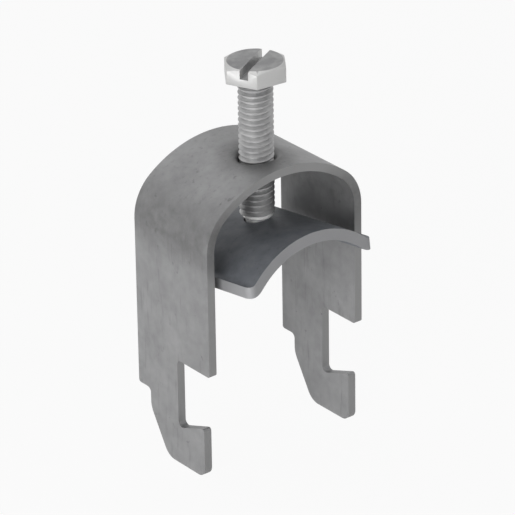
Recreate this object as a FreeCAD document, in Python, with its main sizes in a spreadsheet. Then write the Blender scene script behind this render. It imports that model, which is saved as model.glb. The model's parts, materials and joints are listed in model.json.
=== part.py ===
import FreeCAD, Part
import math
import os
import Sketcher

# Clamp for one cable or conduit on a slotted rail: a strap bent from sheet with two
# hooked legs, a slotted hexagon screw in a plunged thread in its crown, and a pressure
# saddle that hangs loosely on the riveted point of the screw.
#
# Frame: origin midway between the legs, at the middle of the strap's width, in the
# plane of the rail face on which the fronts of the legs stand. +X runs from leg to
# leg, +Y along the cable, away from the hook toes, and +Z up to the screw head.
# Millimetres and degrees. The screw and the saddle share a pivot, the middle of the
# saddle's sheet on the screw axis, which is the origin of both of their bodies.

DIMENSIONS = {
    # strap: sheet and bent form
    "strap_width": 20.0,
    "strap_sheet": 1.5,
    "clear_width": 30.0,
    "crown_height": 34.0,
    "crown_radius": 21.5,
    "shoulder_radius": 8.8,
    # strap: blanked feet, depths below the rail face
    "rest_length": 8.95,
    "toe_setback": 1.8,
    "tip_depth": 10.4,
    "pocket_depth": 13.0,
    "foot_depth": 19.8,
    "foot_length": 10.2,
    "step_length": 3.3,
    "step_depth": 8.5,
    "heel_bend_depth": 12.0,
    "blank_corner_radius": 0.5,
    "notch_corner_radius": 0.9,
    "toe_corner_radius": 1.8,
    "heel_corner_radius": 3.0,
    "heel_bend_radius": 4.0,
    # strap: plunged thread
    "screw_offset": 2.5,
    "thread_clearance": 0.05,
    "collar_wall": 1.1,
    "collar_depth": 2.0,
    "collar_root_radius": 0.7,
    "lip_radius": 1.3,
    # clamp screw
    "thread_diameter": 6.0,
    "shank_length": 25.6,
    "shank_chamfer": 0.8,
    "head_flats": 10.0,
    "head_height": 3.0,
    "head_face_diameter": 9.5,
    "head_chamfer_angle": 30.0,
    "slot_width": 1.5,
    "slot_depth": 1.6,
    "slot_turn": 35.0,
    "head_turn": -5.0,
    "point_diameter": 4.0,
    "rivet_diameter": 5.4,
    "rivet_height": 1.3,
    "rivet_corner_radius": 0.8,
    # pressure saddle
    "saddle_sheet": 2.0,
    "saddle_radius": 18.4,
    "saddle_flare_radius": 1.5,
    "saddle_flange": 0.3,
    "saddle_side_clearance": 1.3,
    "saddle_length": 26.7,
    "saddle_corner_radius": 1.4,
    "saddle_hole_clearance": 0.3,
    "saddle_drop": 12.9,
    "saddle_roll": 1.1,
    "saddle_pitch": 6.8,
    "saddle_yaw": 2.6,
    "shank_gap": 0.3,
    "rivet_gap": 0.65,
}

TOLERANCE = 1e-4          # for finding edges by their place
START, END, CENTRE = range(1, 4)
Y_AXIS, X_AXIS = range(-2, 0)
ORIGIN = (X_AXIS, START)
THROUGH_ALL = 1
QUARTER_TURN = math.pi / 2

# Places that several features share, as expressions over the sheet.
HALF_OUTSIDE = "(dims.clear_width / 2 + dims.strap_sheet)"
FRONT = "-dims.strap_width / 2"
BACK = "dims.strap_width / 2"
NOTCH = f"({FRONT} + dims.rest_length)"
TOE = f"({FRONT} + dims.toe_setback)"
HEEL = f"({TOE} + dims.foot_length)"
STEP = f"({BACK} - dims.step_length)"
BORE_RADIUS = "(dims.thread_diameter / 2 + dims.thread_clearance)"
COLLAR_RADIUS = f"({BORE_RADIUS} + dims.collar_wall)"
COLLAR_RIM = "(dims.crown_height - dims.strap_sheet - dims.collar_depth)"
SHANK_END = "(dims.saddle_sheet / 2 + dims.shank_gap)"
HEAD_UNDERSIDE = f"({SHANK_END} + dims.shank_length)"
HEAD_TOP = f"({HEAD_UNDERSIDE} + dims.head_height)"
RIVET_TOP = "(-dims.saddle_sheet / 2 - dims.rivet_gap)"
SADDLE_HALF = "(dims.clear_width / 2 - dims.saddle_side_clearance)"
FLARE_PLACE = f"({SADDLE_HALF} - dims.saddle_flange)"

doc = FreeCAD.newDocument("cable_clamp")
dims = doc.addObject("Spreadsheet::Sheet", "dims")
for row, (alias, size) in enumerate(DIMENSIONS.items(), start=1):
    dims.set(f"A{row}", alias)
    dims.set(f"B{row}", str(size))
    dims.setAlias(f"B{row}", alias)
doc.recompute()


# ---------------------------------------------------------------- helpers

def value(expression):
    """Number that an expression over the sheet gives."""
    return float(dims.evalExpression(expression))


def new_body(label):
    """A PartDesign body whose label names its file."""
    body = doc.addObject("PartDesign::Body", label)
    body.Label = label
    return body


def new_sketch(body, name, role, height=None):
    """A sketch on one of the body's own origin planes, raised by an expression."""
    plane = [feature for feature in body.Origin.OriginFeatures if feature.Role == role][0]
    sketch = body.newObject("Sketcher::SketchObject", name)
    sketch.AttachmentSupport = [(plane, "")]
    sketch.MapMode = "FlatFace"
    if height:
        sketch.setExpression("AttachmentOffset.Base.z", height)
    return sketch


def line(sketch, start, end):
    """Add a line between two points of the sketch plane."""
    segment = Part.LineSegment(FreeCAD.Vector(*start, 0), FreeCAD.Vector(*end, 0))
    return sketch.addGeometry(segment, False)


def circle(sketch, centre, radius):
    """Add a full circle."""
    curve = Part.Circle(FreeCAD.Vector(*centre, 0), FreeCAD.Vector(0, 0, 1), radius)
    return sketch.addGeometry(curve, False)


def arc(sketch, centre, radius, start, end):
    """Add an arc, anticlockwise between two angles in radians."""
    curve = Part.Circle(FreeCAD.Vector(*centre, 0), FreeCAD.Vector(0, 0, 1), radius)
    return sketch.addGeometry(Part.ArcOfCircle(curve, start, end), False)


def constrain(sketch, kind, *places):
    """Add one geometric constraint of a kind for each place."""
    for place in places:
        sketch.addConstraint(Sketcher.Constraint(kind, *place))


def drive(sketch, kind, place, name, expression):
    """Add one dimension and bind it to an expression over the sheet."""
    datum = Sketcher.Constraint(kind, *place, value(expression))
    index = sketch.addConstraint(datum)
    sketch.renameConstraint(index, name)
    sketch.setExpression(f"Constraints.{name}", expression)


def polygon(sketch, corners):
    """A closed outline through corners given as pairs of expressions.

    A side between corners that share an expression is held level or upright, and
    every other coordinate is a driven distance from the sketch's origin.
    """
    points = [(value(x), value(y)) for x, y in corners]
    sides = [line(sketch, a, b) for a, b in zip(points, points[1:] + points[:1])]
    for first, second in zip(sides, sides[1:] + sides[:1]):
        constrain(sketch, "Coincident", (first, END, second, START))
    for number, (side, (x, y)) in enumerate(zip(sides, corners)):
        before = corners[number - 1] if number else (None, None)
        if x == before[0]:
            constrain(sketch, "Vertical", (sides[number - 1],))
        elif x == "0":
            constrain(sketch, "PointOnObject", (side, START, Y_AXIS))
        else:
            drive(sketch, "DistanceX", (*ORIGIN, side, START), f"x{number}", x)
        if y == before[1]:
            constrain(sketch, "Horizontal", (sides[number - 1],))
        elif y == "0":
            constrain(sketch, "PointOnObject", (side, START, X_AXIS))
        else:
            drive(sketch, "DistanceY", (*ORIGIN, side, START), f"y{number}", y)
    return sides


def add_feature(body, kind, name, profile, **settings):
    """Add a feature made from a sketch, recompute it and hide the sketch."""
    feature = body.newObject(f"PartDesign::{kind}", name)
    feature.Profile = profile
    for key, setting in settings.items():
        if isinstance(setting, str):
            feature.setExpression(key, setting)
        else:
            setattr(feature, key, setting)
    profile.Visibility = False
    doc.recompute()
    return feature


def cut(body, kind, name, profile, **settings):
    """Add a subtractive feature and see that it did remove metal."""
    before = body.Shape.Volume
    feature = add_feature(body, kind, name, profile, **settings)
    if not body.Shape.Volume < before - TOLERANCE:
        raise RuntimeError(f"{name} removed nothing")
    return feature


def dress(body, kind, name, chosen, **settings):
    """Fillet or chamfer the edges of the body's tip that a test chooses."""
    base = body.Tip
    edges = [f"Edge{n}" for n, edge in enumerate(base.Shape.Edges, 1) if chosen(edge)]
    if not edges:
        raise RuntimeError(f"{name} found no edge")
    feature = body.newObject(f"PartDesign::{kind}", name)
    feature.Base = (base, edges)
    for key, expression in settings.items():
        feature.setExpression(key, expression)
    doc.recompute()
    return feature


def along_x(*corners):
    """Test for the edges along X through corners given as (y, z) expressions."""
    places = [(value(y), value(z)) for y, z in corners]

    def chosen(edge):
        return any(all(math.hypot(v.Y - y, v.Z - z) < TOLERANCE for v in edge.Vertexes)
                   for y, z in places)
    return chosen


def ring(axis_y, radius, low, high):
    """Test for closed edges at a radius round an upright axis, between heights."""
    def chosen(edge):
        if not edge.isClosed():
            return False
        points = edge.discretize(9)
        round_axis = all(abs(math.hypot(p.x, p.y - axis_y) - radius) < TOLERANCE
                         for p in points)
        return round_axis and all(low < p.z < high for p in points)
    return chosen


# ---------------------------------------------------------------- strap

def strap_section(sketch):
    """Section of the bent strip: two legs, two shoulder arcs and a flatter crown.

    The inner outline runs beside the outer one at the thickness of the sheet, on the
    same arc centres.
    """
    outside = value(HALF_OUTSIDE)
    crown = value("dims.crown_radius")
    shoulder = value("dims.shoulder_radius")
    thick = value("dims.strap_sheet")
    foot = -value("dims.foot_depth")
    crown_y = value("dims.crown_height") - crown
    shoulder_x = outside - shoulder
    spread = math.asin(shoulder_x / (crown - shoulder))
    shoulder_y = crown_y + (crown - shoulder) * math.cos(spread)
    rise, fall = QUARTER_TURN - spread, QUARTER_TURN + spread

    outlines = []
    for inset in (0.0, thick):
        half = outside - inset
        right = line(sketch, (half, foot), (half, shoulder_y))
        right_arc = arc(sketch, (shoulder_x, shoulder_y), shoulder - inset, 0, rise)
        top = arc(sketch, (0, crown_y), crown - inset, rise, fall)
        left_arc = arc(sketch, (-shoulder_x, shoulder_y), shoulder - inset,
                       fall, math.pi)
        left = line(sketch, (-half, shoulder_y), (-half, foot))
        constrain(sketch, "Tangent", (right, END, right_arc, START),
                  (right_arc, END, top, START), (top, END, left_arc, START),
                  (left_arc, END, left, START))
        constrain(sketch, "Vertical", (right,), (left,))
        outlines.append((right, right_arc, top, left_arc, left))
    outer, inner = outlines
    right_end = line(sketch, (outside - thick, foot), (outside, foot))
    left_end = line(sketch, (-outside, foot), (thick - outside, foot))
    constrain(sketch, "Coincident", (right_end, START, inner[0], START),
              (right_end, END, outer[0], START), (left_end, START, outer[4], END),
              (left_end, END, inner[4], END), (outer[1], CENTRE, inner[1], CENTRE),
              (outer[2], CENTRE, inner[2], CENTRE), (outer[3], CENTRE, inner[3], CENTRE))
    constrain(sketch, "Horizontal", (right_end,), (left_end,))
    constrain(sketch, "Equal", (outer[1], outer[3]))
    constrain(sketch, "PointOnObject", (outer[2], CENTRE, Y_AXIS))
    drive(sketch, "Radius", (outer[2],), "crown", "dims.crown_radius")
    drive(sketch, "Radius", (outer[1],), "shoulder", "dims.shoulder_radius")
    drive(sketch, "DistanceX", (right_end, START, right_end, END), "sheet",
          "dims.strap_sheet")
    drive(sketch, "DistanceX", (*ORIGIN, right_end, END), "half", HALF_OUTSIDE)
    drive(sketch, "DistanceY", (*ORIGIN, outer[2], CENTRE), "crown_centre",
          "dims.crown_height - dims.crown_radius")
    drive(sketch, "DistanceY", (*ORIGIN, right_end, END), "right_foot",
          "-dims.foot_depth")
    drive(sketch, "DistanceY", (*ORIGIN, left_end, START), "left_foot",
          "-dims.foot_depth")


def blank_feet(body):
    """Blank both feet: the hook notch and toe in front, a step and heel behind."""
    notch = new_sketch(body, "front_blank", "YZ_Plane")
    polygon(notch, [
        ("-dims.strap_width", "0"),
        (NOTCH, "0"),
        (NOTCH, "-dims.pocket_depth"),
        (TOE, "-dims.tip_depth"),
        (TOE, "-2 * dims.foot_depth"),
        ("-dims.strap_width", "-2 * dims.foot_depth")])
    cut(body, "Pocket", "front_cut", notch, Type=THROUGH_ALL, Midplane=True)
    heel = new_sketch(body, "back_blank", "YZ_Plane")
    polygon(heel, [
        ("dims.strap_width", "-dims.step_depth"),
        (STEP, "-dims.step_depth"),
        (STEP, "-dims.heel_bend_depth"),
        (HEEL, "-dims.foot_depth"),
        (HEEL, "-2 * dims.foot_depth"),
        ("dims.strap_width", "-2 * dims.foot_depth")])
    cut(body, "Pocket", "back_cut", heel, Type=THROUGH_ALL, Midplane=True)
    dress(body, "Fillet", "heel_bends", along_x((STEP, "-dims.heel_bend_depth")),
          Radius="dims.heel_bend_radius")
    dress(body, "Fillet", "toe_corners", along_x((TOE, "-dims.foot_depth")),
          Radius="dims.toe_corner_radius")
    dress(body, "Fillet", "heel_corners", along_x((HEEL, "-dims.foot_depth")),
          Radius="dims.heel_corner_radius")
    dress(body, "Fillet", "notch_corners",
          along_x((NOTCH, "0"), (NOTCH, "-dims.pocket_depth"),
                  (STEP, "-dims.step_depth")),
          Radius="dims.notch_corner_radius")
    dress(body, "Fillet", "blank_corners",
          along_x((FRONT, "0"), (TOE, "-dims.tip_depth"), (BACK, "-dims.step_depth")),
          Radius="dims.blank_corner_radius")


def plunge_collar(body):
    """Draw the crown down round the thread: collar below, rounded lip above."""
    axis_y = -value("dims.screw_offset")
    rim = value(COLLAR_RIM)
    crown = value("dims.crown_height")
    disc = new_sketch(body, "collar_section", "XY_Plane", COLLAR_RIM)
    round_screw(disc, COLLAR_RADIUS)
    add_feature(body, "Pad", "collar", disc,
                Length="dims.collar_depth + dims.strap_sheet / 2")
    dress(body, "Fillet", "collar_root",
          ring(axis_y, value(COLLAR_RADIUS), rim + TOLERANCE, crown),
          Radius="dims.collar_root_radius")
    bore = new_sketch(body, "bore_section", "XY_Plane")
    round_screw(bore, BORE_RADIUS)
    cut(body, "Pocket", "thread_bore", bore, Type=THROUGH_ALL, Midplane=True)
    dress(body, "Fillet", "thread_lip",
          ring(axis_y, value(BORE_RADIUS), rim + TOLERANCE, crown + TOLERANCE),
          Radius="dims.lip_radius")


def round_screw(sketch, radius):
    """A circle of a given radius on the screw axis."""
    index = circle(sketch, (0, -value("dims.screw_offset")), value(radius))
    constrain(sketch, "PointOnObject", (index, CENTRE, Y_AXIS))
    drive(sketch, "DistanceY", (*ORIGIN, index, CENTRE), "axis", "-dims.screw_offset")
    drive(sketch, "Radius", (index,), "radius", radius)


def build_strap():
    """The strap, bent from one strip of sheet."""
    body = new_body("strap")
    section = new_sketch(body, "strap_section", "XZ_Plane")
    strap_section(section)
    add_feature(body, "Pad", "bent_strip", section, Midplane=True,
                Length="dims.strap_width")
    blank_feet(body)
    plunge_collar(body)
    return body


# ---------------------------------------------------------------- clamp screw

def build_screw():
    """Hexagon screw with a slot, a turned point and a riveted end."""
    body = new_body("clamp_screw")
    thread = "dims.thread_diameter / 2"
    point = "dims.point_diameter / 2"
    rivet = "dims.rivet_diameter / 2"
    shank = new_sketch(body, "shank_section", "XZ_Plane")
    polygon(shank, [
        ("0", HEAD_UNDERSIDE),
        (thread, HEAD_UNDERSIDE),
        (thread, f"{SHANK_END} + dims.shank_chamfer"),
        (f"{thread} - dims.shank_chamfer", SHANK_END),
        (point, SHANK_END),
        (point, RIVET_TOP),
        (rivet, RIVET_TOP),
        (rivet, f"{RIVET_TOP} - dims.rivet_height"),
        ("0", f"{RIVET_TOP} - dims.rivet_height")])
    add_feature(body, "Revolution", "shank", shank, Angle=360.0,
                ReferenceAxis=(shank, ["V_Axis"]))
    dress(body, "Fillet", "rivet_dome",
          ring(0.0, value(rivet), -math.inf, value(RIVET_TOP) - TOLERANCE),
          Radius="dims.rivet_corner_radius")

    hexagon = new_sketch(body, "head_section", "XY_Plane", HEAD_UNDERSIDE)
    hexagon_outline(hexagon)
    add_feature(body, "Pad", "head", hexagon, Length="dims.head_height")
    bevel = new_sketch(body, "head_bevel_section", "XZ_Plane")
    face = "dims.head_face_diameter / 2"
    slope = "tan(dims.head_chamfer_angle * 1 deg)"
    polygon(bevel, [
        (face, HEAD_TOP),
        ("dims.head_flats", HEAD_TOP),
        ("dims.head_flats", f"{HEAD_TOP} - (dims.head_flats - {face}) * {slope}")])
    cut(body, "Groove", "head_bevel", bevel, Angle=360.0,
        ReferenceAxis=(bevel, ["V_Axis"]))

    slot = new_sketch(body, "slot_section", "XY_Plane", HEAD_TOP)
    slot.setExpression("AttachmentOffset.Rotation.Angle", "dims.slot_turn * 1 deg")
    half = "dims.slot_width / 2"
    polygon(slot, [
        ("-dims.head_flats", f"-{half}"),
        ("dims.head_flats", f"-{half}"),
        ("dims.head_flats", half),
        ("-dims.head_flats", half)])
    cut(body, "Pocket", "slot", slot, Length="dims.slot_depth")
    body.setExpression(
        "Placement",
        "placement(vector(0; -dims.screw_offset; dims.crown_height - dims.saddle_drop);"
        " rotation(vector(0; 0; 1); dims.head_turn))")
    return body


def hexagon_outline(sketch):
    """A hexagon with one corner on the sketch's own X axis."""
    corner = value("dims.head_flats / 2") / math.cos(math.pi / 6)
    points = [(corner * math.cos(k * math.pi / 3), corner * math.sin(k * math.pi / 3))
              for k in range(6)]
    sides = [line(sketch, a, b) for a, b in zip(points, points[1:] + points[:1])]
    around = circle(sketch, (0, 0), corner)
    sketch.toggleConstruction(around)
    for first, second in zip(sides, sides[1:] + sides[:1]):
        constrain(sketch, "Coincident", (first, END, second, START))
        constrain(sketch, "PointOnObject", (first, END, around))
        if second != sides[0]:
            constrain(sketch, "Equal", (first, second))
    constrain(sketch, "Coincident", (around, CENTRE, *ORIGIN))
    constrain(sketch, "PointOnObject", (sides[0], START, X_AXIS))
    drive(sketch, "Radius", (around,), "corners", "dims.head_flats / 2 / cos(30 deg)")


# ---------------------------------------------------------------- pressure saddle

def saddle_section(sketch):
    """Section of the saddle: an arch that flares at both ends into short flanges."""
    thick = value("dims.saddle_sheet")
    outer = value("dims.saddle_radius")
    flare = value("dims.saddle_flare_radius")
    half = value(SADDLE_HALF)
    flare_x = value(FLARE_PLACE)
    centre_y = thick / 2 - outer
    slope = math.asin(flare_x / (outer + flare))
    down = 3 * QUARTER_TURN
    flare_y = centre_y + (outer + flare) * math.cos(slope)

    outlines = []
    for inset in (0.0, thick):
        level = flare_y - flare - inset
        right = line(sketch, (half, level), (flare_x, level))
        right_arc = arc(sketch, (flare_x, flare_y), flare + inset, down - slope, down)
        top = arc(sketch, (0, centre_y), outer - inset,
                  QUARTER_TURN - slope, QUARTER_TURN + slope)
        left_arc = arc(sketch, (-flare_x, flare_y), flare + inset, down, down + slope)
        left = line(sketch, (-flare_x, level), (-half, level))
        constrain(sketch, "Tangent", (right, END, right_arc, END),
                  (right_arc, START, top, START), (top, END, left_arc, END),
                  (left_arc, START, left, START))
        constrain(sketch, "Horizontal", (right,), (left,))
        outlines.append((right, right_arc, top, left_arc, left))
    upper, lower = outlines
    level = flare_y - flare
    right_end = line(sketch, (half, level - thick), (half, level))
    left_end = line(sketch, (-half, level), (-half, level - thick))
    constrain(sketch, "Coincident", (right_end, START, lower[0], START),
              (right_end, END, upper[0], START), (left_end, START, upper[4], END),
              (left_end, END, lower[4], END), (upper[1], CENTRE, lower[1], CENTRE),
              (upper[2], CENTRE, lower[2], CENTRE), (upper[3], CENTRE, lower[3], CENTRE))
    constrain(sketch, "Vertical", (right_end,), (left_end,))
    constrain(sketch, "Equal", (upper[1], upper[3]))
    constrain(sketch, "PointOnObject", (upper[2], CENTRE, Y_AXIS))
    constrain(sketch, "Symmetric", (upper[0], START, upper[4], END, Y_AXIS))
    drive(sketch, "Radius", (upper[2],), "arch", "dims.saddle_radius")
    drive(sketch, "Radius", (upper[1],), "flare", "dims.saddle_flare_radius")
    drive(sketch, "DistanceY", (right_end, START, right_end, END), "sheet",
          "dims.saddle_sheet")
    drive(sketch, "DistanceY", (*ORIGIN, upper[2], CENTRE), "arch_centre",
          "dims.saddle_sheet / 2 - dims.saddle_radius")
    drive(sketch, "DistanceX", (*ORIGIN, upper[1], CENTRE), "flare_place", FLARE_PLACE)
    drive(sketch, "DistanceX", (*ORIGIN, right_end, END), "half", SADDLE_HALF)


def saddle_blank(sketch):
    """What is cut away round the blank: a wide frame with a rounded window."""
    half = value(SADDLE_HALF)
    end = value("dims.saddle_length / 2")
    radius = value("dims.saddle_corner_radius")
    turns = ((1, 1), (-1, 1), (-1, -1), (1, -1))
    corners = [arc(sketch, (x * (half - radius), y * (end - radius)), radius,
                   number * QUARTER_TURN, (number + 1) * QUARTER_TURN)
               for number, (x, y) in enumerate(turns)]
    back = line(sketch, (half - radius, end), (radius - half, end))
    left = line(sketch, (-half, end - radius), (-half, radius - end))
    front = line(sketch, (radius - half, -end), (half - radius, -end))
    right = line(sketch, (half, radius - end), (half, end - radius))
    sides = (back, left, front, right)
    for corner, side, after in zip(corners, sides, corners[1:] + corners[:1]):
        constrain(sketch, "Tangent", (corner, END, side, START), (side, END, after, START))
    constrain(sketch, "Horizontal", (back,), (front,))
    constrain(sketch, "Vertical", (left,), (right,))
    constrain(sketch, "Equal", *((corners[0], corner) for corner in corners[1:]))
    constrain(sketch, "Symmetric", (corners[0], CENTRE, corners[2], CENTRE, *ORIGIN))
    drive(sketch, "Radius", (corners[0],), "corner", "dims.saddle_corner_radius")
    drive(sketch, "DistanceX", (*ORIGIN, right, END), "half", SADDLE_HALF)
    drive(sketch, "DistanceY", (*ORIGIN, back, START), "end", "dims.saddle_length / 2")
    polygon(sketch, [
        ("-dims.saddle_length", "-dims.saddle_length"),
        ("dims.saddle_length", "-dims.saddle_length"),
        ("dims.saddle_length", "dims.saddle_length"),
        ("-dims.saddle_length", "dims.saddle_length")])


def build_saddle():
    """Pressure saddle, askew as it hangs on the loose rivet."""
    body = new_body("pressure_saddle")
    section = new_sketch(body, "saddle_section", "XZ_Plane")
    saddle_section(section)
    add_feature(body, "Pad", "bent_saddle", section, Midplane=True,
                Length="dims.saddle_length")
    blank = new_sketch(body, "saddle_blank", "XY_Plane")
    saddle_blank(blank)
    cut(body, "Pocket", "saddle_corners", blank, Type=THROUGH_ALL, Midplane=True)
    hole = new_sketch(body, "saddle_hole_section", "XY_Plane")
    index = circle(hole, (0, 0), value("dims.point_diameter / 2"))
    constrain(hole, "Coincident", (index, CENTRE, *ORIGIN))
    drive(hole, "Radius", (index,), "radius",
          "dims.point_diameter / 2 + dims.saddle_hole_clearance")
    cut(body, "Pocket", "saddle_hole", hole, Type=THROUGH_ALL, Midplane=True)
    body.setExpression(
        "Placement",
        "placement(vector(0; -dims.screw_offset; dims.crown_height - dims.saddle_drop);"
        " rotation(vector(dims.saddle_pitch; dims.saddle_roll; -dims.saddle_yaw);"
        " -sqrt(dims.saddle_pitch ^ 2 + dims.saddle_roll ^ 2 + dims.saddle_yaw ^ 2)))")
    return body


# ---------------------------------------------------------------- output

def check_document():
    """Stop if any feature failed."""
    for item in doc.Objects:
        for state in item.State:
            if state in ("Invalid", "Error"):
                raise RuntimeError(f"{item.Name} is {state}")


bodies = [build_strap(), build_screw(), build_saddle()]
doc.recompute()
check_document()
for body in bodies:
    if body.Shape.isNull() or not body.Shape.isValid() or len(body.Shape.Solids) != 1:
        raise RuntimeError(f"{body.Label} is not one sound solid")
os.makedirs("parts", exist_ok=True)
for body in bodies:
    body.Shape.exportStep(f"parts/{body.Label}.step")
    box = body.Shape.BoundBox
    print(body.Label, round(body.Shape.Volume, 2),
          [round(number, 2) for number in (box.XMin, box.XMax, box.YMin, box.YMax,
                                           box.ZMin, box.ZMax)])
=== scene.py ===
import json
import logging
import math
from dataclasses import dataclass, field
from enum import Enum, IntEnum
from typing import Sequence

import bpy
from mathutils import Matrix, Vector


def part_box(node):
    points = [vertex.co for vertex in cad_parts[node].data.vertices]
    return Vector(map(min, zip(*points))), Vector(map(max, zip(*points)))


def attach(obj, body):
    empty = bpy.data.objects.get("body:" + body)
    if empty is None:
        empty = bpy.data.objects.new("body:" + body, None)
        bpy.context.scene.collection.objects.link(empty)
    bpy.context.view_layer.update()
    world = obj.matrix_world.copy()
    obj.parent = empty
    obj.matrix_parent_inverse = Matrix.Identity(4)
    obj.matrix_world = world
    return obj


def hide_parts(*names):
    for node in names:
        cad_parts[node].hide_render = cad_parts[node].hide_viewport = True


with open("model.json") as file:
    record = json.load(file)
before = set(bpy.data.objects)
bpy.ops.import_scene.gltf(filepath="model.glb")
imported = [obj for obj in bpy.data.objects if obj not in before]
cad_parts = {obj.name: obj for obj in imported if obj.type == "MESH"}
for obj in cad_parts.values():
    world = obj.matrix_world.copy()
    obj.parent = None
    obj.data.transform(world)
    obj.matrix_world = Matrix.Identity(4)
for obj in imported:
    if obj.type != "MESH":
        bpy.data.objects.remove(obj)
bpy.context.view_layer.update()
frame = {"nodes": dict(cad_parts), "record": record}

log = logging.getLogger("cable_clamp")

MM = 0.001
MERGE = MM / 1000
SMOOTH_ANGLE = math.radians(30.0)
SCREW_JOINT = "screw_turn"

Colour = tuple[float, float, float]
Triple = tuple[float, float, float]

WHITE: Colour = (1.0, 1.0, 1.0)

# Scales of a pattern's coordinates: as they are, the height alone, all but the height.
EVEN: Triple = (1.0, 1.0, 1.0)
HEIGHT_ONLY: Triple = (0.0, 0.0, 1.0)
ACROSS_ONLY: Triple = (1.0, 1.0, 0.0)


class Node(str, Enum):
    """CAD nodes that the scene dresses or replaces."""

    STRAP = "strap"
    SCREW = "clamp_screw"
    SADDLE = "pressure_saddle"


class Body(str, Enum):
    """Rigid bodies that new pieces ride on."""

    SCREW = "screw"


class Axis(IntEnum):
    """Axes that a finish looks along, by their place among a vector's parts."""

    Y = 1
    Z = 2


def corners(node: Node) -> tuple[Vector, Vector]:
    """Lowest and highest corner of a CAD node at rest.

    Args:
        node: The CAD node.

    Returns:
        Both corners in metres.
    """
    low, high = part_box(node.value)
    return Vector(low), Vector(high)


def screw_axis() -> Vector:
    """Point on the screw's axis, from its joint.

    Returns:
        The joint's place in metres.
    """
    joints = frame["record"]["behaviour"]["joints"]
    place = [joint["pos_m"] for joint in joints if joint["name"] == SCREW_JOINT][0]
    return Vector(place)


AXIS = screw_axis()
AXIS_FOOT: Triple = (AXIS.x, AXIS.y, 0.0)


# ---------------------------------------------------------------- modelling helpers

def deselect_all() -> None:
    """Leave edit mode and clear the selection."""
    if bpy.context.object and bpy.context.object.mode != "OBJECT":
        bpy.ops.object.mode_set(mode="OBJECT")
    bpy.ops.object.select_all(action="DESELECT")


def make_active(piece: bpy.types.Object) -> None:
    """Select one object alone and make it the active one.

    Args:
        piece: The object that the next operators act on.
    """
    deselect_all()
    piece.select_set(True)
    bpy.context.view_layer.objects.active = piece


def apply_place(piece: bpy.types.Object) -> None:
    """Move an object's place, turn and scale into its mesh.

    Args:
        piece: The object to settle at the origin.
    """
    make_active(piece)
    bpy.ops.object.transform_apply(location=True, rotation=True, scale=True)


def apply_modifier(piece: bpy.types.Object, kind: str,
                   **settings: object) -> None:
    """Add one modifier, set it up and apply it.

    Args:
        piece: The object to change.
        kind: Blender's name of the modifier type.
        settings: Properties of the modifier.
    """
    make_active(piece)
    modifier = piece.modifiers.new(kind.title(), kind)
    for key, setting in settings.items():
        setattr(modifier, key, setting)
    bpy.ops.object.modifier_apply(modifier=modifier.name)


def combine(piece: bpy.types.Object, tool: bpy.types.Object, operation: str) -> None:
    """Join, cut or intersect a piece with a tool and delete the tool.

    Args:
        piece: The object that is kept.
        tool: The object that shapes it.
        operation: UNION, DIFFERENCE or INTERSECT.
    """
    apply_modifier(piece, "BOOLEAN", operation=operation, object=tool, solver="EXACT")
    mesh = tool.data
    bpy.data.objects.remove(tool)
    bpy.data.meshes.remove(mesh)


def prism(name: str, radius: float, low: float, high: float,
          sides: int, turn: float) -> bpy.types.Object:
    """Add an upright prism on the Z axis.

    Args:
        name: Name of the new object.
        radius: Radius to the corners, in metres.
        low: Height of its bottom.
        high: Height of its top.
        sides: Number of sides.
        turn: Turn about Z in radians.

    Returns:
        The new object, settled at the origin.
    """
    deselect_all()
    bpy.ops.mesh.primitive_cylinder_add(
        vertices=sides, radius=radius, depth=high - low,
        location=(0, 0, (low + high) / 2), rotation=(0, 0, turn))
    piece = bpy.context.object
    piece.name = name
    apply_place(piece)
    return piece


def turned(name: str, profile: Sequence[tuple[float, float]],
           steps: int) -> bpy.types.Object:
    """Turn a closed body from a profile, as on a lathe.

    Args:
        name: Name of the new object.
        profile: Points (radius, height) from the axis at the top to the axis at the
            bottom.
        steps: Number of facets round the axis.

    Returns:
        The new object, settled at the origin.
    """
    piece = chain(name, [(radius, 0.0, height) for radius, height in profile])
    apply_modifier(piece, "SCREW", angle=math.tau, screw_offset=0.0, steps=steps,
                   render_steps=steps, use_merge_vertices=True, merge_threshold=MERGE)
    outwards(piece)
    return piece


def chain(name: str, points: Sequence[Triple]) -> bpy.types.Object:
    """Draw an open chain of edges, point after point, by extrusion.

    Args:
        name: Name of the new object.
        points: Places of the points in metres.

    Returns:
        The new object, which has no faces yet.
    """
    deselect_all()
    bpy.ops.mesh.primitive_plane_add(size=MM)
    piece = bpy.context.object
    piece.name = name
    bpy.ops.object.mode_set(mode="EDIT")
    bpy.ops.mesh.select_all(action="SELECT")
    bpy.ops.mesh.merge(type="CENTER")
    bpy.ops.transform.translate(value=points[0])
    for before, after in zip(points, points[1:]):
        step = Vector(after) - Vector(before)
        bpy.ops.mesh.extrude_vertices_move(TRANSFORM_OT_translate={"value": step})
    bpy.ops.object.mode_set(mode="OBJECT")
    return piece


def outwards(piece: bpy.types.Object) -> None:
    """Merge doubled points and turn all faces outwards.

    Args:
        piece: A closed object.
    """
    make_active(piece)
    bpy.ops.object.mode_set(mode="EDIT")
    bpy.ops.mesh.select_all(action="SELECT")
    bpy.ops.mesh.remove_doubles(threshold=MERGE)
    bpy.ops.mesh.normals_make_consistent(inside=False)
    bpy.ops.object.mode_set(mode="OBJECT")


def trim(piece: bpy.types.Object, height: float, keep_below: bool) -> None:
    """Cut a piece level and close the cut.

    Args:
        piece: The object to cut.
        height: Height of the cut.
        keep_below: Keep what lies below the cut instead of above it.
    """
    make_active(piece)
    bpy.ops.object.mode_set(mode="EDIT")
    bpy.ops.mesh.select_all(action="SELECT")
    bpy.ops.mesh.bisect(plane_co=(0, 0, height), plane_no=(0, 0, 1), use_fill=True,
                        clear_outer=keep_below, clear_inner=not keep_below)
    bpy.ops.object.mode_set(mode="OBJECT")


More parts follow.
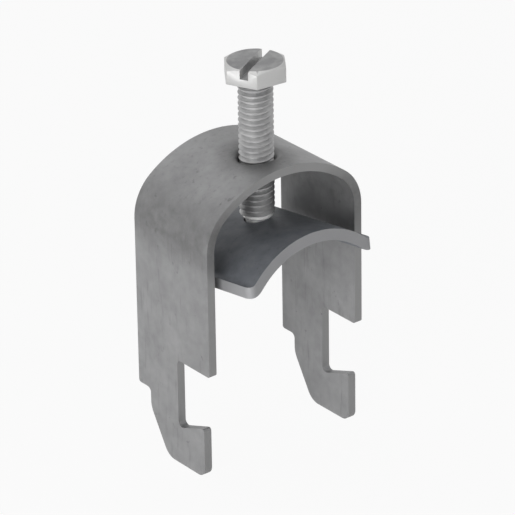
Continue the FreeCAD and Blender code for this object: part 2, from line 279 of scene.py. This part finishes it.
def smooth(piece: bpy.types.Object) -> None:
    """Shade smoothly, with the sharp edges left crisp.

    Args:
        piece: The object to shade.
    """
    make_active(piece)
    bpy.ops.object.shade_smooth_by_angle(angle=SMOOTH_ANGLE)


# ---------------------------------------------------------------- finishes

def rgba(colour: Colour) -> tuple[float, float, float, float]:
    """A colour with full alpha.

    Args:
        colour: Red, green and blue.

    Returns:
        Red, green, blue and alpha.
    """
    return (*colour, 1.0)


@dataclass(frozen=True)
class Grain:
    """A noise pattern: cells per metre, octaves, and share of the finer octaves."""

    cells: float
    octaves: float
    fine: float = 0.5


@dataclass(frozen=True)
class Ramp:
    """A straight way from one result to another over a range, level beyond it."""

    low: float
    high: float
    start: float = 0.0
    end: float = 1.0


@dataclass
class NodeGraph:
    """A material's node tree with short calls to build it."""

    name: str
    material: bpy.types.Material = field(init=False)
    shader: bpy.types.ShaderNode = field(init=False)

    def __post_init__(self) -> None:
        """Make the material and keep its Principled shader."""
        self.material = bpy.data.materials.new(self.name)
        self.material.use_nodes = True
        self.shader = self.material.node_tree.nodes["Principled BSDF"]

    def add(self, kind: str, **settings: object) -> bpy.types.ShaderNode:
        """Add a node.

        Args:
            kind: Node type without its ShaderNode prefix.
            settings: Properties, or input values given by name.

        Returns:
            The new node.
        """
        node = self.material.node_tree.nodes.new(f"ShaderNode{kind}")
        for key, setting in settings.items():
            if hasattr(node, key):
                setattr(node, key, setting)
            else:
                node.inputs[key.replace("_", " ")].default_value = setting
        return node

    def link(self, source: bpy.types.NodeSocket, target: bpy.types.NodeSocket) -> None:
        """Connect two sockets.

        Args:
            source: Output socket.
            target: Input socket.
        """
        self.material.node_tree.links.new(source, target)

    def pattern(self, scale: Triple) -> bpy.types.NodeSocket:
        """Object coordinates, stretched along the piece.

        Args:
            scale: Stretch of the pattern along each axis.

        Returns:
            The mapped coordinates.
        """
        place = self.add("TexCoord")
        mapping = self.add("Mapping")
        mapping.inputs["Scale"].default_value = scale
        self.link(place.outputs["Object"], mapping.inputs["Vector"])
        return mapping.outputs["Vector"]

    def noise(self, place: bpy.types.NodeSocket, grain: Grain) -> bpy.types.NodeSocket:
        """Noise over given coordinates.

        Args:
            place: Coordinates.
            grain: Size and make-up of the noise.

        Returns:
            The noise value, about 0 to 1.
        """
        node = self.add("TexNoise", Scale=grain.cells, Detail=grain.octaves,
                        Roughness=grain.fine)
        self.link(place, node.inputs["Vector"])
        return node.outputs["Fac"]

    def span(self, source: bpy.types.NodeSocket, ramp: Ramp) -> bpy.types.NodeSocket:
        """Map one range of a value to another, with clamped ends.

        Args:
            source: The value.
            ramp: The range, and the results at its ends.

        Returns:
            The mapped value.
        """
        node = self.add("MapRange")
        self.link(source, node.inputs["Value"])
        for key, setting in (("From Min", ramp.low), ("From Max", ramp.high),
                             ("To Min", ramp.start), ("To Max", ramp.end)):
            node.inputs[key].default_value = setting
        return node.outputs["Result"]

    def blend(self, share: bpy.types.NodeSocket, first: object,
              second: object) -> bpy.types.NodeSocket:
        """Mix two colours.

        Args:
            share: Share of the second colour.
            first: Colour or socket.
            second: Colour or socket.

        Returns:
            The mixed colour.
        """
        node = self.add("Mix", data_type="RGBA")
        self.link(share, node.inputs["Factor"])
        for key, colour in (("A", first), ("B", second)):
            socket = [s for s in node.inputs if s.name == key and s.type == "RGBA"][0]
            if isinstance(colour, bpy.types.NodeSocket):
                self.link(colour, socket)
            else:
                socket.default_value = colour
        return [s for s in node.outputs if s.type == "RGBA"][0]

    def reach(self, place: bpy.types.NodeSocket, centre: Triple) -> bpy.types.NodeSocket:
        """Distance from a point.

        Args:
            place: Coordinates.
            centre: The point, in the same coordinates.

        Returns:
            The distance in metres.
        """
        node = self.add("VectorMath", operation="DISTANCE")
        self.link(place, node.inputs[0])
        node.inputs[1].default_value = centre
        return node.outputs["Value"]

    def facing(self, axis: Axis) -> bpy.types.NodeSocket:
        """How squarely the surface faces along one axis of the piece.

        Args:
            axis: The axis.

        Returns:
            0 across the axis to 1 along it, whichever way.
        """
        place = self.add("TexCoord")
        parts = self.add("SeparateXYZ")
        self.link(place.outputs["Normal"], parts.inputs["Vector"])
        size = self.add("Math", operation="ABSOLUTE")
        self.link(parts.outputs[axis.value], size.inputs[0])
        return size.outputs["Value"]

    def times(self, first: bpy.types.NodeSocket,
              second: bpy.types.NodeSocket) -> bpy.types.NodeSocket:
        """Product of two values.

        Args:
            first: One value.
            second: The other.

        Returns:
            The product.
        """
        node = self.add("Math", operation="MULTIPLY")
        self.link(first, node.inputs[0])
        self.link(second, node.inputs[1])
        return node.outputs["Value"]

    def bump(self, height: bpy.types.NodeSocket, strength: float,
             distance: float) -> None:
        """Give the shader a bump.

        Args:
            height: Height value.
            strength: Strength of the bump.
            distance: Height in metres of a full step.
        """
        node = self.add("Bump", Strength=strength, Distance=distance)
        self.link(height, node.inputs["Height"])
        self.link(node.outputs["Normal"], self.shader.inputs["Normal"])


@dataclass(frozen=True)
class GalvanisedSheet:
    """Matt grey zinc on sheet steel, clouded and streaked, with paler cut edges."""

    name: str
    pale: Colour
    dark: Colour
    # Colour of specks and streaks; a bent sheet also uses it for its painted shade.
    speck_and_shade: Colour
    cut: Colour
    cut_axis: Axis = Axis.Y
    cut_ramp: Ramp = Ramp(0.85, 0.93, 0.0, 0.85)
    metallic: float = 0.3
    roughness: float = 0.5
    roughness_spread: float = 0.07
    clouds: Grain = Grain(160.0, 4.0, 0.55)
    cloud_ramp: Ramp = Ramp(0.3, 0.7, 0.0, 0.6)
    cloud_reach: tuple[float, float] = (0.25, 0.75)
    spangle: Grain = Grain(620.0, 3.0, 0.6)
    spangle_ramp: Ramp = Ramp(0.3, 0.7, 0.0, 0.4)
    streaks: Grain = Grain(1300.0, 3.0, 0.6)
    streak_ramp: Ramp = Ramp(0.58, 0.75, 0.0, 0.35)
    streak_stretch: Triple = (1.0, 1.0, 0.12)
    specks: Grain = Grain(420.0, 3.0, 0.65)
    speck_ramp: Ramp = Ramp(0.66, 0.74, 0.0, 0.6)
    skin: Grain = Grain(2600.0, 2.0)
    skin_strength: float = 0.25
    skin_height: float = 0.02 * MM

    def surface(self, graph: NodeGraph) -> bpy.types.NodeSocket:
        """Colour of the sheet and its cut edges.

        Args:
            graph: The material's node graph.

        Returns:
            The colour.
        """
        place = graph.pattern(EVEN)
        clouds = graph.noise(place, self.clouds)
        spangle = graph.noise(place, self.spangle)
        streaks = graph.noise(graph.pattern(self.streak_stretch), self.streaks)
        specks = graph.noise(place, self.specks)
        mixed = graph.add("Math", operation="ADD")
        graph.link(graph.span(clouds, self.cloud_ramp), mixed.inputs[0])
        graph.link(graph.span(spangle, self.spangle_ramp), mixed.inputs[1])
        body = graph.blend(mixed.outputs["Value"], rgba(self.dark), rgba(self.pale))
        streaked = graph.blend(graph.span(streaks, self.streak_ramp),
                               body, rgba(self.speck_and_shade))
        spotted = graph.blend(graph.span(specks, self.speck_ramp),
                              streaked, rgba(self.speck_and_shade))
        cut = graph.span(graph.facing(self.cut_axis), self.cut_ramp)
        return graph.blend(cut, spotted, rgba(self.cut))

    def material(self) -> bpy.types.Material:
        """Build the material.

        Returns:
            The finished material.
        """
        graph = NodeGraph(self.name)
        graph.link(self.surface(graph), graph.shader.inputs["Base Color"])
        place = graph.pattern(EVEN)
        rough = Ramp(*self.cloud_reach, self.roughness + self.roughness_spread,
                     self.roughness - self.roughness_spread)
        graph.link(graph.span(graph.noise(place, self.clouds), rough),
                   graph.shader.inputs["Roughness"])
        graph.shader.inputs["Metallic"].default_value = self.metallic
        graph.bump(graph.noise(place, self.skin), self.skin_strength, self.skin_height)
        return graph.material


@dataclass(frozen=True)
class BentSheet(GalvanisedSheet):
    """Galvanised sheet with painted shade: mottled dark bands round the shoulders and
    round the screw's collar.
    """

    # Painted shade: a mottled dark band round the shoulders' height, which also darkens
    # the walls inside the arch, and a dark ring round the screw's collar.
    bend_height: float = 24.5 * MM
    bend_shade_ramp: Ramp = Ramp(2.0 * MM, 7.0 * MM, 0.8, 0.0)
    collar_shade_ramp: Ramp = Ramp(4.4 * MM, 7.5 * MM, 0.9, 0.0)
    shade_mottle: Grain = Grain(330.0, 4.0, 0.6)
    shade_mottle_ramp: Ramp = Ramp(0.3, 0.7, 0.45, 1.0)

    def surface(self, graph: NodeGraph) -> bpy.types.NodeSocket:
        """Colour of the sheet, with painted shade at the shoulders and round the collar.

        Args:
            graph: The material's node graph.

        Returns:
            The colour.
        """
        colour = super().surface(graph)
        # Painted shade at the shoulders and round the collar, mixed towards the speck
        # colour.
        shade_mottling = graph.span(graph.noise(graph.pattern(EVEN), self.shade_mottle),
                            self.shade_mottle_ramp)
        off_bend = graph.reach(graph.pattern(HEIGHT_ONLY), (0.0, 0.0, self.bend_height))
        bend_shade = graph.times(graph.span(off_bend, self.bend_shade_ramp), shade_mottling)
        off_axis = graph.reach(graph.pattern(ACROSS_ONLY), AXIS_FOOT)
        collar_shade = graph.times(graph.span(off_axis, self.collar_shade_ramp), shade_mottling)
        bend_shaded = graph.blend(bend_shade, colour, rgba(self.speck_and_shade))
        return graph.blend(collar_shade, bend_shaded, rgba(self.speck_and_shade))


@dataclass(frozen=True)
class BrightZinc:
    """Bright zinc on turned steel, with a painted highlight on the head, a painted glint
    at the shank's end and painted shade on level faces.
    """

    name: str
    colour: Colour
    shade: Colour
    # The next three colours are painted light: a painted highlight on the head, a
    # painted glint at the shank's lower end, and painted shade on level faces.
    head: Colour
    end_glint: Colour
    level_shade: Colour
    metallic: float = 0.5
    roughness: float = 0.46
    roughness_spread: float = 0.06
    blotches: Grain = Grain(380.0, 4.0, 0.6)
    shade_ramp: Ramp = Ramp(0.35, 0.65, 0.0, 1.0)
    head_highlight_ramp: Ramp = Ramp(3.2 * MM, 3.6 * MM, 0.0, 1.0)
    end_glint_ramp: Ramp = Ramp(0.9 * MM, 1.3 * MM, 1.0, 0.0)
    level_ramp: Ramp = Ramp(0.9, 0.97, 0.0, 1.0)
    level_shade_ramp: Ramp = Ramp(0.35, 0.65, 0.6, 1.0)
    rings: Grain = Grain(5200.0, 2.0)
    ring_stretch: Triple = (0.2, 0.2, 1.0)
    ring_reach: tuple[float, float] = (0.3, 0.7)
    ring_strength: float = 0.15
    ring_height: float = 0.01 * MM

    def surface(self, graph: NodeGraph, shank_end: float) -> bpy.types.NodeSocket:
        """Colour of the screw, with its painted highlight, painted glint and painted
        shade.

        Args:
            graph: The material's node graph.
            shank_end: Height of the shank's lower end.

        Returns:
            The colour.
        """
        blotches = graph.noise(graph.pattern(EVEN), self.blotches)
        shank = graph.blend(graph.span(blotches, self.shade_ramp),
                            rgba(self.colour), rgba(self.shade))
        off_axis = graph.reach(graph.pattern(ACROSS_ONLY), AXIS_FOOT)
        # Painted highlight: the head, out past the shank, is paler all over.
        head_lit = graph.blend(graph.span(off_axis, self.head_highlight_ramp),
                             shank, rgba(self.head))
        # Painted glint: a near-white band round the shank's lower end and the top of the
        # point.
        off_end = graph.reach(graph.pattern(HEIGHT_ONLY), (0.0, 0.0, shank_end))
        end_glinted = graph.blend(graph.span(off_end, self.end_glint_ramp),
                            head_lit, rgba(self.end_glint))
        # Painted shade: faces that look up or down, such as the head's top, are darker
        # in blotches.
        level = graph.times(graph.span(graph.facing(Axis.Z), self.level_ramp),
                            graph.span(blotches, self.level_shade_ramp))
        return graph.blend(level, end_glinted, rgba(self.level_shade))

    def material(self, shank_end: float) -> bpy.types.Material:
        """Build the material.

        Args:
            shank_end: Height of the shank's lower end.

        Returns:
            The finished material.
        """
        graph = NodeGraph(self.name)
        graph.link(self.surface(graph, shank_end), graph.shader.inputs["Base Color"])
        rings = graph.noise(graph.pattern(self.ring_stretch), self.rings)
        rough = Ramp(*self.ring_reach, self.roughness - self.roughness_spread,
                     self.roughness + self.roughness_spread)
        graph.link(graph.span(rings, rough), graph.shader.inputs["Roughness"])
        graph.shader.inputs["Metallic"].default_value = self.metallic
        graph.bump(rings, self.ring_strength, self.ring_height)
        return graph.material


# The strap's speck colour also colours its painted shade.
STRAP_FINISH = BentSheet("strap_zinc", pale=(0.41, 0.41, 0.415),
                         dark=(0.30, 0.30, 0.305), speck_and_shade=(0.14, 0.14, 0.14),
                         cut=(0.39, 0.39, 0.39))
SADDLE_FINISH = GalvanisedSheet("saddle_zinc", pale=(0.24, 0.255, 0.28),
                                dark=(0.15, 0.16, 0.18), speck_and_shade=(0.08, 0.08, 0.09),
                                cut=(0.46, 0.46, 0.47), cut_axis=Axis.Z,
                                cut_ramp=Ramp(0.30, 0.45, 0.85, 0.0))
# The head colour is a painted highlight, the next a painted glint and the last painted
# shade on level faces.
SCREW_FINISH = BrightZinc("screw_zinc", colour=(0.56, 0.56, 0.56),
                          shade=(0.42, 0.42, 0.425), head=(0.64, 0.64, 0.635),
                          end_glint=(0.95, 0.95, 0.94), level_shade=(0.26, 0.26, 0.265))


def dress(node: Node, finish: GalvanisedSheet) -> None:
    """Give a CAD node its finish.

    Args:
        node: The CAD node.
        finish: What it is made of.
    """
    piece = frame["nodes"][node.value]
    material = finish.material()
    for place in piece.material_slots:
        place.material = material
    log.info("dressed %s", node.value)


# ---------------------------------------------------------------- clamp screw

@dataclass
class ClampScrew:
    """Slotted hexagon screw with a rolled thread, a turned point and a rivet."""

    top: float
    thread_diameter: float = 6.0 * MM
    pitch: float = 1.0 * MM
    thread_depth: float = 0.55 * MM
    shank_length: float = 25.6 * MM
    shank_chamfer: float = 0.8 * MM
    head_flats: float = 10.0 * MM
    head_height: float = 3.0 * MM
    head_face_diameter: float = 9.5 * MM
    head_chamfer: float = math.radians(30.0)
    head_turn: float = math.radians(-5.0)
    slot_width: float = 1.5 * MM
    slot_depth: float = 1.6 * MM
    slot_turn: float = math.radians(30.0)
    point_diameter: float = 4.0 * MM
    point_length: float = 2.95 * MM
    rivet_diameter: float = 5.4 * MM
    rivet_height: float = 1.3 * MM
    rivet_corner: float = 0.8 * MM
    rivet_corner_steps: int = 6
    edge_bevel: float = 0.12 * MM
    bevel_steps: int = 2
    bevel_from: float = math.radians(35.0)
    overlap: float = 0.2 * MM
    spare_turns: int = 2
    head_sides: int = 6
    cone_sides: int = 144
    steps: int = 60

    @property
    def head_underside(self) -> float:
        """Height of the head's underside."""
        return self.top - self.head_height

    @property
    def shank_end(self) -> float:
        """Height of the thread's lower end."""
        return self.head_underside - self.shank_length

    def head(self) -> bpy.types.Object:
        """Hexagon head with its chamfer and slot.

        Returns:
            The head alone.
        """
        corner = self.head_flats / math.sqrt(3)
        piece = prism("screw_head", corner, self.head_underside, self.top,
                      self.head_sides, self.head_turn + math.pi / self.head_sides)
        face = self.head_face_diameter / 2
        drop = 2 * self.head_height
        deselect_all()
        bpy.ops.mesh.primitive_cone_add(
            vertices=self.cone_sides, radius1=face + drop / math.tan(self.head_chamfer),
            radius2=face, depth=drop, location=(0, 0, self.top - drop / 2))
        cone = bpy.context.object
        apply_place(cone)
        combine(piece, cone, "INTERSECT")
        deselect_all()
        bpy.ops.mesh.primitive_cube_add(
            size=1, location=(0, 0, self.top), rotation=(0, 0, self.slot_turn),
            scale=(3 * corner, self.slot_width, 2 * self.slot_depth))
        cutter = bpy.context.object
        apply_place(cutter)
        combine(piece, cutter, "DIFFERENCE")
        apply_modifier(piece, "BEVEL", width=self.edge_bevel, segments=self.bevel_steps,
                       limit_method="ANGLE", angle_limit=self.bevel_from)
        return piece

    def threaded_rod(self) -> bpy.types.Object:
        """Shank with its helical thread, chamfered at the end.

        Returns:
            The rod alone.
        """
        crest = self.thread_diameter / 2
        root = crest - self.thread_depth
        flat = self.pitch / 8
        turns = math.ceil(self.shank_length / self.pitch) + self.spare_turns
        low = self.shank_end - self.pitch
        section = [(root, 0.0), (root, flat), (crest, self.pitch / 2 - flat / 2),
                   (crest, self.pitch / 2 + flat / 2), (root, self.pitch)]
        rod = chain("screw_thread", [(radius, 0.0, low + rise)
                                     for radius, rise in section])
        apply_modifier(rod, "SCREW", angle=math.tau, screw_offset=self.pitch,
                       iterations=turns, steps=self.steps, render_steps=self.steps)
        make_active(rod)
        bpy.ops.object.mode_set(mode="EDIT")
        bpy.ops.mesh.select_all(action="SELECT")
        bpy.ops.mesh.remove_doubles(threshold=MERGE)
        bpy.ops.object.mode_set(mode="OBJECT")
        trim(rod, self.head_underside + self.overlap, keep_below=True)
        trim(rod, self.shank_end, keep_below=False)
        outwards(rod)
        inside_head = self.top - self.head_height / 2
        envelope = turned("screw_envelope", [
            (0.0, inside_head), (2 * crest, inside_head),
            (2 * crest, self.shank_end + crest + self.shank_chamfer),
            (crest - self.shank_chamfer, self.shank_end),
            (0.0, self.shank_end)], self.steps)
        combine(rod, envelope, "INTERSECT")
        return rod

    def point(self) -> bpy.types.Object:
        """Turned point below the thread, riveted over at its end.

        Returns:
            The point alone.
        """
        radius = self.point_diameter / 2
        rivet = self.rivet_diameter / 2
        low = self.shank_end - self.point_length
        foot = low - self.rivet_height
        turns = [math.pi / 2 * step / self.rivet_corner_steps
                 for step in range(self.rivet_corner_steps + 1)]
        dome = [(rivet - self.rivet_corner * (1 - math.cos(turn)),
                 foot + self.rivet_corner * (1 - math.sin(turn))) for turn in turns]
        inside_shank = self.shank_end + self.overlap
        return turned("screw_point", [
            (0.0, inside_shank), (radius, inside_shank),
            (radius, low), (rivet, low), *dome, (0.0, foot)], self.steps)

    def build(self) -> bpy.types.Object:
        """Model the whole screw at its place.

        Returns:
            The finished screw.
        """
        piece = self.threaded_rod()
        combine(piece, self.head(), "UNION")
        combine(piece, self.point(), "UNION")
        piece.name = "threaded_clamp_screw"
        piece.data.name = piece.name
        piece.location = AXIS_FOOT
        apply_place(piece)
        outwards(piece)
        smooth(piece)
        piece.data.materials.clear()
        piece.data.materials.append(SCREW_FINISH.material(self.shank_end))
        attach(piece, Body.SCREW.value)
        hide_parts(Node.SCREW.value)
        log.info("built %s with %d faces", piece.name, len(piece.data.polygons))
        return piece


# ---------------------------------------------------------------- studio

@dataclass(frozen=True)
class Viewpoint:
    """Camera that looks down on the strap from its front left."""

    azimuth: float = math.radians(-37.9)
    elevation: float = math.radians(26.15)
    roll: float = math.radians(0.89)
    distance: float = 0.7
    focal: float = 292.0
    nearest: float = 0.01
    across: float = 1.45 * MM
    above: float = -18.3 * MM

    def build(self, target: Vector) -> bpy.types.Object:
        """Add the camera.

        Args:
            target: The middle of the crown's top, near which the camera aims.

        Returns:
            The camera.
        """
        back = Vector((math.sin(self.azimuth) * math.cos(self.elevation),
                       -math.cos(self.azimuth) * math.cos(self.elevation),
                       math.sin(self.elevation)))
        right = Vector((math.cos(self.azimuth), math.sin(self.azimuth), 0.0))
        up = back.cross(right)
        aim = target + self.across * right + self.above * up
        level = Matrix((right, up, back)).transposed()
        turn = level @ Matrix.Rotation(-self.roll, 3, "Z")
        deselect_all()
        bpy.ops.object.camera_add(location=aim + self.distance * back,
                                  rotation=turn.to_euler())
        camera = bpy.context.object
        camera.data.lens = self.focal
        camera.data.clip_start = self.nearest
        bpy.context.scene.camera = camera
        return camera


@dataclass(frozen=True)
class Lamp:
    """A soft area lamp aimed at the strap."""

    name: str
    place: Triple
    size: float
    power: float

    def build(self, target: Vector) -> None:
        """Add the lamp.

        Args:
            target: Where it points.
        """
        deselect_all()
        place = Vector(self.place)
        aim = (target - place).to_track_quat("-Z", "Y").to_euler()
        bpy.ops.object.light_add(type="AREA", location=place, rotation=aim)
        lamp = bpy.context.object
        lamp.name = self.name
        lamp.data.shape = "DISK"
        lamp.data.size = self.size
        lamp.data.energy = self.power


@dataclass(frozen=True)
class Studio:
    """Pale floor, white surroundings and soft lamps."""

    fill: float = 0.08
    white: float = 1.0
    floor_colour: Colour = (0.86, 0.86, 0.86)
    floor_white: float = 0.94
    floor_size: float = 6.0
    floor_grain: Grain = Grain(40.0, 2.0)
    floor_shade: float = 0.985
    floor_roughness: float = 0.9
    lamps: tuple[Lamp, ...] = (
        Lamp("left_lamp", (-0.60, -0.27, 0.02), 0.6, 4.5),
        Lamp("top_lamp", (0.05, 0.20, 0.70), 0.6, 0.9),
    )

    def white_to_lens(self, graph: bpy.types.NodeTree, low: float,
                      high: float) -> bpy.types.NodeSocket:
        """One value for rays from the lens, a mirror or glass, another for the rest.

        Args:
            graph: Node tree to build it in.
            low: Value for rays that only carry light.
            high: Value for rays that are seen.

        Returns:
            The value.
        """
        path = graph.nodes.new("ShaderNodeLightPath")
        seen = path.outputs["Is Camera Ray"]
        for name in ("Is Glossy Ray", "Is Transmission Ray"):
            either = graph.nodes.new("ShaderNodeMath")
            either.operation = "MAXIMUM"
            graph.links.new(seen, either.inputs[0])
            graph.links.new(path.outputs[name], either.inputs[1])
            seen = either.outputs[0]
        level = graph.nodes.new("ShaderNodeMapRange")
        graph.links.new(seen, level.inputs["Value"])
        level.inputs["To Min"].default_value = low
        level.inputs["To Max"].default_value = high
        return level.outputs["Result"]

    def surroundings(self) -> None:
        """Light the world evenly and show it white."""
        world = bpy.data.worlds.new("studio_world")
        bpy.context.scene.world = world
        world.use_nodes = True
        graph = world.node_tree
        background = graph.nodes["Background"]
        background.inputs["Color"].default_value = rgba(WHITE)
        graph.links.new(self.white_to_lens(graph, self.fill, self.white),
                        background.inputs["Strength"])

    def floor(self, height: float) -> None:
        """Lay the floor under the part.

        Args:
            height: Height of the floor.
        """
        deselect_all()
        bpy.ops.mesh.primitive_plane_add(size=self.floor_size, location=(0, 0, height))
        floor = bpy.context.object
        floor.name = "floor"
        apply_place(floor)
        graph = NodeGraph("pale_floor")
        grain = graph.noise(graph.pattern(EVEN), self.floor_grain)
        shade = tuple(self.floor_shade * value for value in self.floor_colour)
        graph.link(graph.blend(grain, rgba(self.floor_colour), rgba(shade)),
                   graph.shader.inputs["Base Color"])
        graph.shader.inputs["Roughness"].default_value = self.floor_roughness
        graph.shader.inputs["Specular IOR Level"].default_value = 0.0
        glow = graph.add("Emission", Strength=1.0)
        either = graph.add("MixShader")
        tree = graph.material.node_tree
        graph.link(self.white_to_lens(tree, 0.0, self.floor_white),
                   either.inputs["Fac"])
        graph.link(graph.shader.outputs["BSDF"], either.inputs[1])
        graph.link(glow.outputs["Emission"], either.inputs[2])
        graph.link(either.outputs["Shader"],
                   tree.nodes["Material Output"].inputs["Surface"])
        floor.data.materials.append(graph.material)

    def build(self, target: Vector, ground: float) -> None:
        """Set up the whole studio.

        Args:
            target: Where the lamps point.
            ground: Height of the floor.
        """
        self.surroundings()
        self.floor(ground)
        for lamp in self.lamps:
            lamp.build(target)
        bpy.context.scene.view_settings.view_transform = "Standard"


def main() -> None:
    """Build, dress and light the part."""
    logging.basicConfig(level=logging.INFO, format="%(name)s: %(message)s")
    strap_low, strap_high = corners(Node.STRAP)
    _, screw_high = corners(Node.SCREW)
    crown = Vector((0.0, 0.0, strap_high.z))
    dress(Node.STRAP, STRAP_FINISH)
    dress(Node.SADDLE, SADDLE_FINISH)
    ClampScrew(top=screw_high.z).build()
    Studio().build(crown, strap_low.z)
    Viewpoint().build(crown)


if __name__ == "__main__":
    main()
